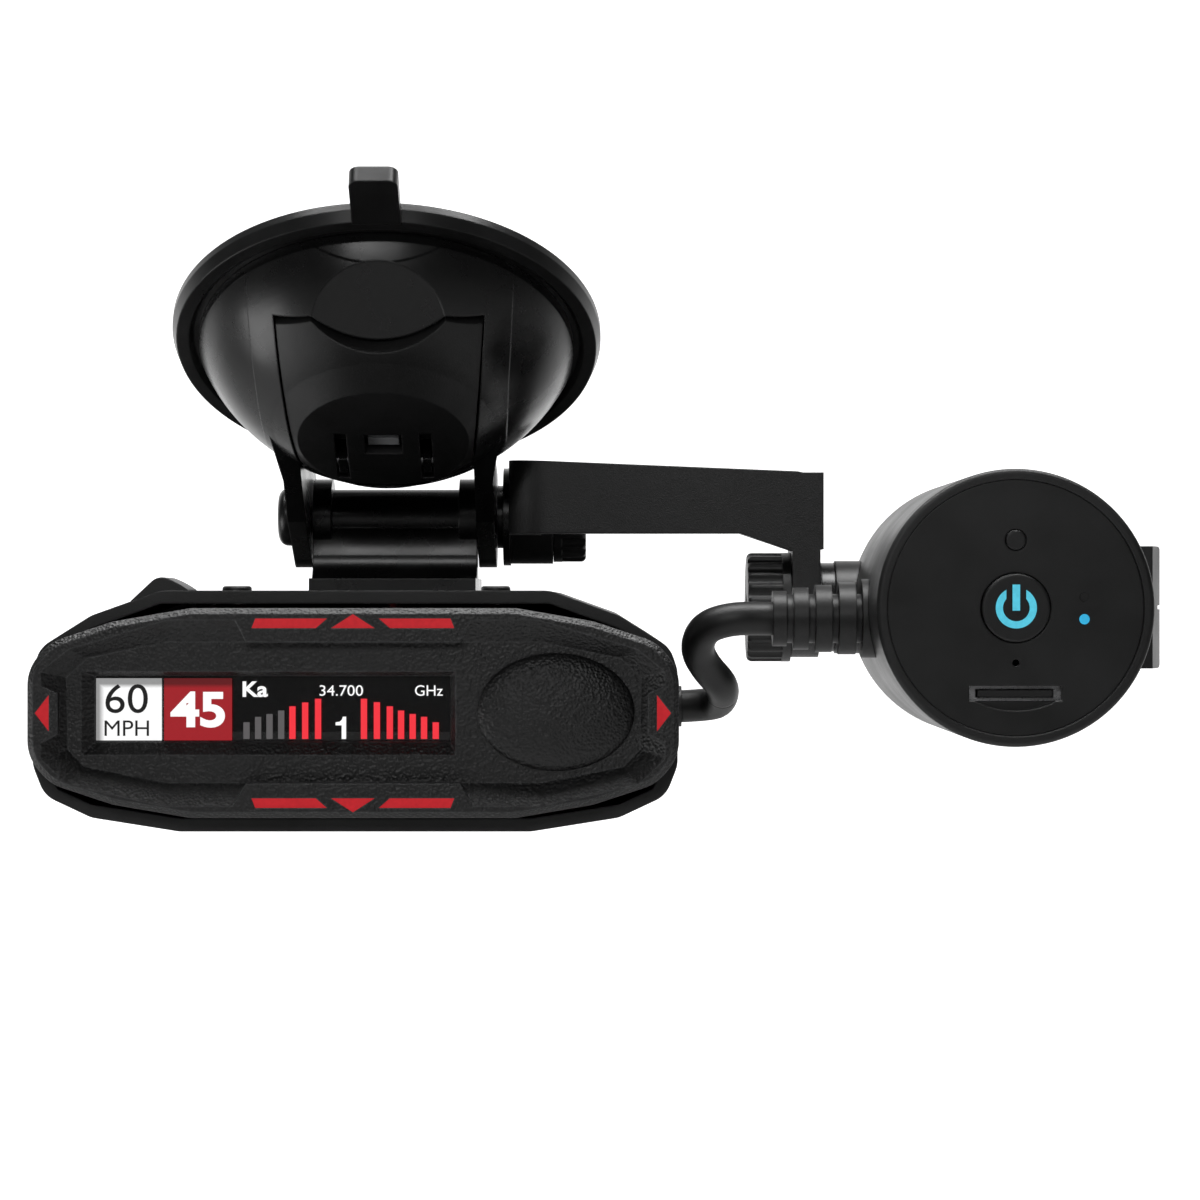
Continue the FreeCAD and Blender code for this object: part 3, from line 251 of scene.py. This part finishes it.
MATERIALS = {
    "soft_black": moulded("soft_black", 0.0065, 0.30, grain=0.10, grain_size=0.9),
    "gloss_black": moulded("gloss_black", 0.0055, 0.26, grain=0.06, grain_size=0.5, wear_and_edge_highlight=2.6),
    "satin_black": moulded("satin_black", 0.0085, 0.40, grain=0.22, grain_size=0.28, wear_and_edge_highlight=2.2),
    # The bezel's edges are lightened strongly, mostly as painted highlight lines.
    "grained_black": moulded("grained_black", 0.0060, 0.40, grain=1.0, grain_size=0.4, wear_and_edge_highlight=16.0,
                             pebbled=True),
    "face_black": moulded("face_black", 0.0075, 0.38, grain=0.10, grain_size=0.25),
    "knob_black": moulded("knob_black", 0.0085, 0.42, grain=0.20, grain_size=0.25),
    "painted_arm": moulded("painted_arm", 0.0120, 0.42, grain=0.55, grain_size=0.22, wear_and_edge_highlight=2.2),
    "cable_black": moulded("cable_black", 0.0035, 0.45, grain=0.14, grain_size=0.35),
    "grey_plastic": moulded("grey_plastic", 0.30, 0.42, grain=0.12, grain_size=0.3, wear_and_edge_highlight=1.2),
    "speaker_black": moulded("speaker_black", 0.012, 0.6, grain=0.3, grain_size=0.5),
    "card_black": moulded("card_black", 0.010, 0.38, grain=0.1, grain_size=0.3),
    "steel": metal("steel", (0.50, 0.50, 0.51), 0.30),
    "magnet": metal("magnet", (0.62, 0.62, 0.64), 0.22),
    "cast_metal": metal("cast_metal", (0.48, 0.48, 0.49), 0.45, brushed=0.2),
    "contact_brass": metal("contact_brass", (0.75, 0.55, 0.25), 0.28),
    "board": board_green("board"),
    "sensor": plain_tone("sensor", (0.02, 0.012, 0.016), 0.2),
    "ceramic_patch": plain_tone("ceramic_patch", (0.55, 0.42, 0.28), 0.5),
    "red_lamp": glowing("red_lamp", (0.60, 0.012, 0.020), 0.62, (0.22, 0.006, 0.010)),
    "display": plain_tone("display", (0.0015, 0.0015, 0.0018), 0.2, grain=0.02),
    "cyan_light": glowing("cyan_light", (0.08, 0.52, 0.68), 0.85, (0.05, 0.25, 0.32)),
    "blue_light": glowing("blue_light", (0.03, 0.42, 0.70), 0.85, (0.02, 0.15, 0.25)),
    "clear_window": see_through("clear_window", (1, 1, 1, 1), 1.0, 0.0),
    "dark_window": plain_tone("dark_window", (0.010, 0.004, 0.006), 0.12, grain=0.04),
    "lens_glass": see_through("lens_glass", (0.75, 0.82, 0.95, 1), 0.85, 0.01),
}


def light_lower_half(material, node):
    """Of the two lamps in the node, the material lights the lower one and leaves the upper one dark."""
    tree = material.node_tree
    shader = tree.nodes["Principled BSDF"]
    glow = shader.inputs["Emission Strength"]
    height = add(tree, "SeparateXYZ", Vector=add(tree, "TexCoord").outputs["Object"]).outputs["Z"]
    low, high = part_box(node)
    between = low.z + 0.5 * (high.z - low.z)
    lit = ramp(tree, height, between - 0.1 * MM, between + 0.1 * MM, 1.0, 0.0)
    tree.links.new(math_node(tree, "MULTIPLY", glow.links[0].from_socket, lit), glow)
    tint = shader.inputs["Base Color"]
    tree.links.new(mix_colour(tree, lit, grey(0.01), tuple(tint.default_value)), tint)


light_lower_half(MATERIALS["blue_light"], "status_lights")
for node, obj in NODES.items():
    obj.data.materials.clear()
    obj.data.materials.append(MATERIALS[SLOT_OF[node]])


# Link cable

def link(obj):
    bpy.context.scene.collection.objects.link(obj)
    return obj


def spline_points(name, route):
    """Points along a smooth curve whose control points are the route's, in mm."""
    curve = bpy.data.curves.new(name, "CURVE")
    curve.dimensions = "3D"
    curve.resolution_u = 16
    spline = curve.splines.new("NURBS")
    spline.points.add(len(route) - 1)
    for point, place in zip(spline.points, route):
        point.co = (place[0] * MM, place[1] * MM, place[2] * MM, 1)
    spline.order_u = 3
    spline.use_endpoint_u = True
    holder = link(bpy.data.objects.new(name, curve))
    bpy.context.view_layer.update()
    line = bpy.data.meshes.new_from_object(holder)
    points = [vertex.co.copy() for vertex in line.vertices]
    bpy.data.objects.remove(holder)
    return points


def tube(name, points, radius, material, sides=28):
    """A round cable along the points, closed at both ends."""
    mesh = bmesh.new()
    rings = []
    side = None
    for i, point in enumerate(points):
        ahead = (points[min(i + 1, len(points) - 1)] - points[max(i - 1, 0)]).normalized()
        if side is None:
            side = ahead.cross(Vector((0, 0, 1))).normalized()
        side = (side - side.dot(ahead) * ahead).normalized()
        up = ahead.cross(side)
        angles = [2 * math.pi * k / sides for k in range(sides)]
        spokes = [math.cos(angle) * side + math.sin(angle) * up for angle in angles]
        rings.append([mesh.verts.new(point + radius * spoke) for spoke in spokes])
    for ring, after in zip(rings, rings[1:]):
        for k in range(sides):
            mesh.faces.new((ring[k], ring[(k + 1) % sides], after[(k + 1) % sides], after[k]))
    mesh.faces.new(rings[0])
    mesh.faces.new(rings[-1])
    bmesh.ops.recalc_face_normals(mesh, faces=mesh.faces)
    return finished(name, mesh, material)


def finished(name, mesh, material, smooth=True):
    """The bmesh as a shown object with that material."""
    data = bpy.data.meshes.new(name)
    mesh.to_mesh(data)
    mesh.free()
    for face in data.polygons:
        face.use_smooth = smooth
    data.materials.append(MATERIALS[material])
    obj = link(bpy.data.objects.new(name, data))
    return obj


CABLE_RADIUS = 2.55 * MM
CAMERA_ROUTE = [(68.0, -21.0, -44.7), (58.2, -21.0, -44.7), (53.2, -22.2, -44.7), (49.2, -20.6, -46.0),
                (48.0, -17.0, -49.2), (49.6, -13.4, -52.2), (52.4, -10.3, -55.1), (52.4, -7.0, -56.2)]
PLUG_ROUTE = [(52.4, -7.0, -56.2), (52.4, -2.6, -57.7), (50.2, 0.4, -58.4), (46.2, 1.0, -58.6)]
camera_points = spline_points("camera_lead_line", CAMERA_ROUTE)
plug_points = spline_points("plug_lead_line", PLUG_ROUTE)
camera_lead = tube("camera_lead_cable", camera_points, CABLE_RADIUS, "cable_black")
plug_lead = tube("plug_lead_cable", plug_points, CABLE_RADIUS, "cable_black")
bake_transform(camera_lead)
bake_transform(plug_lead)
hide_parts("camera_lead")
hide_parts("plug_lead")


# Display graphics, on the window's front

def on_body(obj, body):
    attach(obj, body)
    return obj


window_low, window_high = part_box("display_window")
SCREEN_X = (window_low.x + window_high.x) / 2
SCREEN_Z = (window_low.z + window_high.z) / 2
SCREEN_Y = window_low.y
# How far the graphics stand off the window, the words on a panel in front of the panel
ON_SCREEN = 0.03
ON_PANEL = 0.06
WORD_THICKNESS = 0.02
PANEL_LEFT = -24.53
PANEL_TOP = 4.05
PANEL_FOOT = -4.4
BAR_WIDTH = 0.85
BAR_BASE = -4.21


def screen_place(x, z, proud):
    """A point on the screen, x and z in mm from its middle, that many mm in front of it."""
    return Vector((SCREEN_X + x * MM, SCREEN_Y - proud * MM, SCREEN_Z + z * MM))


def add_slab(mesh, outline, proud):
    """A thin closed slab of that outline, from the screen to proud mm in front of it."""
    front = [mesh.verts.new(screen_place(x, z, proud)) for x, z in outline]
    back = [mesh.verts.new(screen_place(x, z, 0.0)) for x, z in outline]
    mesh.faces.new(front)
    mesh.faces.new(back[::-1])
    for k, corner in enumerate(front):
        after = (k + 1) % len(front)
        mesh.faces.new((corner, back[k], back[after], front[after]))
    bmesh.ops.recalc_face_normals(mesh, faces=mesh.faces)


def rectangle(x0, x1, z0, z1):
    return [(x0, z0), (x1, z0), (x1, z1), (x0, z1)]


def on_screen(name, mesh, material):
    return on_body(finished(name, mesh, material, smooth=False), "detector")


def screen_shape(name, outline, material):
    """A lit shape of the display from its outline."""
    mesh = bmesh.new()
    add_slab(mesh, outline, ON_SCREEN)
    return on_screen(name, mesh, material)


def screen_bars(name, bars, material):
    """Signal bars as (middle, top) pairs standing on one base line."""
    mesh = bmesh.new()
    for middle, top in bars:
        add_slab(mesh, rectangle(middle - BAR_WIDTH / 2, middle + BAR_WIDTH / 2, BAR_BASE, top), ON_SCREEN)
    return on_screen(name, mesh, material)


def screen_text(name, words, x0, x1, z0, z1, proud, material, weight=0.0):
    """Words fitted to that box of the screen. weight thickens their strokes."""
    curve = bpy.data.curves.new(name, "FONT")
    curve.body = words
    curve.offset = weight
    curve.extrude = 0.01
    curve.resolution_u = 6
    holder = link(bpy.data.objects.new(name + "_outline", curve))
    bpy.context.view_layer.update()
    data = bpy.data.meshes.new_from_object(holder)
    bpy.data.objects.remove(holder)
    xs = [v.co.x for v in data.vertices]
    ys = [v.co.y for v in data.vertices]
    for vertex in data.vertices:
        x = x0 + (vertex.co.x - min(xs)) / (max(xs) - min(xs)) * (x1 - x0)
        z = z0 + (vertex.co.y - min(ys)) / (max(ys) - min(ys)) * (z1 - z0)
        vertex.co = screen_place(x, z, proud if vertex.co.z > 0 else proud - WORD_THICKNESS)
    mesh = bmesh.new()
    mesh.from_mesh(data)
    bmesh.ops.remove_doubles(mesh, verts=mesh.verts, dist=0.002 * MM)
    bmesh.ops.recalc_face_normals(mesh, faces=mesh.faces)
    return on_screen(name, mesh, material)


def shaded_panel(name, colour, strength, left_shadow, shade):
    """A lit screen panel, shaded near its top, and its left side if asked, by the frame round it."""
    material, tree, shader, coords = new_material(name)
    split = add(tree, "SeparateXYZ", Vector=coords)
    top = SCREEN_Z + PANEL_TOP * MM
    lit = ramp(tree, split.outputs["Z"], top - 1.35 * MM, top - 0.75 * MM, 1.0, shade)
    if left_shadow:
        left = SCREEN_X + PANEL_LEFT * MM
        side = ramp(tree, split.outputs["X"], left + 0.75 * MM, left + 1.5 * MM, shade, 1.0)
        lit = math_node(tree, "MINIMUM", lit, side)
    grainy = ramp(tree, noise(tree, coords, 4500, 1.0), 0.3, 0.7, 0.97, 1.03)
    level = math_node(tree, "MULTIPLY", math_node(tree, "MULTIPLY", lit, grainy), strength)
    shader.inputs["Base Color"].default_value = (0.01, 0.01, 0.01, 1)
    shader.inputs["Roughness"].default_value = 0.3
    shader.inputs["Emission Color"].default_value = tuple(colour) + (1,)
    tree.links.new(level, shader.inputs["Emission Strength"])
    return material


MATERIALS["panel_white"] = shaded_panel("panel_white", (1, 1, 1), 1.0, True, 0.30)
MATERIALS["panel_red"] = shaded_panel("panel_red", (0.34, 0.008, 0.014), 1.0, False, 0.33)
MATERIALS["digits_dark"] = plain_tone("digits_dark", (0.008, 0.008, 0.008), 0.4, grain=0.02)
MATERIALS["digits_white"] = glowing("digits_white", (1, 1, 1), 0.97, (0.1, 0.1, 0.1),
                                    vary=0.03, grain_size=0.15)
MATERIALS["bars_red"] = glowing("bars_red", (0.87, 0.028, 0.045), 1.0, (0.1, 0.01, 0.01),
                                vary=0.04, grain_size=0.15)
MATERIALS["bars_grey"] = glowing("bars_grey", (0.095, 0.09, 0.092), 1.0, (0.02, 0.02, 0.02),
                                 vary=0.05, grain_size=0.15)

screen_shape("speed_panel", rectangle(PANEL_LEFT, -15.22, PANEL_FOOT, PANEL_TOP), "panel_white")
screen_shape("limit_panel", rectangle(-14.91, -5.66, PANEL_FOOT, PANEL_TOP), "panel_red")
screen_text("speed_digits", "60", -22.89, -17.11, -0.7, 3.25, ON_PANEL, "digits_dark")
screen_text("speed_unit", "MPH", -23.01, -16.96, -3.79, -1.69, ON_PANEL, "digits_dark")
screen_text("limit_digits", "45", -14.04, -6.62, -2.67, 2.26, ON_PANEL, "digits_white", weight=0.03)
screen_text("band_letters", "Ka", -4.23, -0.8, 1.49, 3.63, ON_SCREEN, "digits_white", weight=0.025)
screen_text("frequency_digits", "34.700", 6.24, 12.15, 1.66, 3.11, ON_SCREEN, "digits_white")
screen_text("frequency_unit", "GHz", 19.23, 23.01, 1.66, 3.11, ON_SCREEN, "digits_white")
screen_shape("signal_count", [(9.25, -4.21), (9.85, -4.21), (9.85, -1.18), (9.4, -1.18), (9.3, -1.55),
                              (9.0, -1.85), (8.42, -1.95), (8.42, -2.35), (9.25, -2.35)],
             "digits_white")
screen_bars("signal_bars_off", [(-3.7, -1.94), (-2.12, -1.2), (-0.57, -0.81), (1.02, -0.34)], "bars_grey")
screen_bars("signal_bars_on", [(2.55, 0.24), (4.28, 0.76), (6.04, 1.26), (12.28, 1.26), (14.04, 0.8),
                               (15.8, 0.24), (17.33, -0.34), (18.91, -0.81), (20.46, -1.2),
                               (22.05, -1.94)], "bars_red")


# Light and backdrop

def backdrop():
    """A pale floor under the object that curves up into a wall behind it."""
    floor_z = -0.30
    turn_y = 0.85
    bend = 0.45
    top_z = 1.9
    front_y = -7.0
    half_width = 6.0
    steps = 16
    profile = [(front_y, floor_z), (0.0, floor_z)]
    for k in range(steps + 1):
        angle = math.radians(90 * k / steps)
        profile.append((turn_y + bend * math.sin(angle), floor_z + bend * (1 - math.cos(angle))))
    profile.append((turn_y + bend, top_z))
    mesh = bmesh.new()
    rows = [[mesh.verts.new((x, y, z)) for x in (-half_width, half_width)] for y, z in profile]
    for row, after in zip(rows, rows[1:]):
        mesh.faces.new((row[0], row[1], after[1], after[0]))
    data = bpy.data.meshes.new("backdrop")
    mesh.to_mesh(data)
    mesh.free()
    for face in data.polygons:
        face.use_smooth = True
    material, tree, shader, coords = new_material("backdrop")
    split = add(tree, "SeparateXYZ", Vector=coords)
    soft = noise(tree, coords, 3, 2.0)
    tone = mix_colour(tree, soft, grey(0.66), grey(0.70))
    tree.links.new(tone, shader.inputs["Base Color"])
    shader.inputs["Roughness"].default_value = 0.9
    shader.inputs["Emission Color"].default_value = (1, 1, 1, 1)
    aside = add(tree, "Math", {"operation": "ABSOLUTE"}, i0=split.outputs["X"]).outputs[0]
    behind = ramp(tree, split.outputs["Y"], 0.45, 1.0, 0.0, 1.0)
    lit = math_node(tree, "MULTIPLY", behind, ramp(tree, aside, 0.4, 3.5, 1.0, 0.0))
    lit = math_node(tree, "MULTIPLY", lit, ramp(tree, split.outputs["Z"], 0.32, 1.9, 1.0, 0.0))
    tree.links.new(math_node(tree, "ADD", lit, 0.14), shader.inputs["Emission Strength"])
    data.materials.append(material)
    return link(bpy.data.objects.new("backdrop", data))


def softbox(name, place, aim, width, height, watts):
    """A rectangular soft light that points at aim."""
    data = bpy.data.lights.new(name, "AREA")
    data.shape = "RECTANGLE"
    data.size = width
    data.size_y = height
    data.energy = watts
    light = link(bpy.data.objects.new(name, data))
    light.location = place
    light.rotation_euler = (Vector(aim) - Vector(place)).to_track_quat("-Z", "Y").to_euler()
    return light


backdrop()
softbox("top_light", (0.03, -0.04, 0.36), (0.03, -0.02, -0.03), 0.5, 0.16, 2.8)
softbox("front_light", (-0.1, -0.9, 0.30), (0.03, 0.0, -0.03), 0.45, 0.2, 1.5)
softbox("low_left_light", (-0.5, -0.15, -0.24), (0.1, 0.0, -0.04), 0.3, 0.3, 0.9)

world = bpy.data.worlds.new("studio")
bpy.context.scene.world = world
world.use_nodes = True
sky = world.node_tree.nodes["Background"]
sky.inputs["Color"].default_value = (1, 1, 1, 1)
sky.inputs["Strength"].default_value = 0.05
bpy.context.scene.view_settings.view_transform = "Standard"
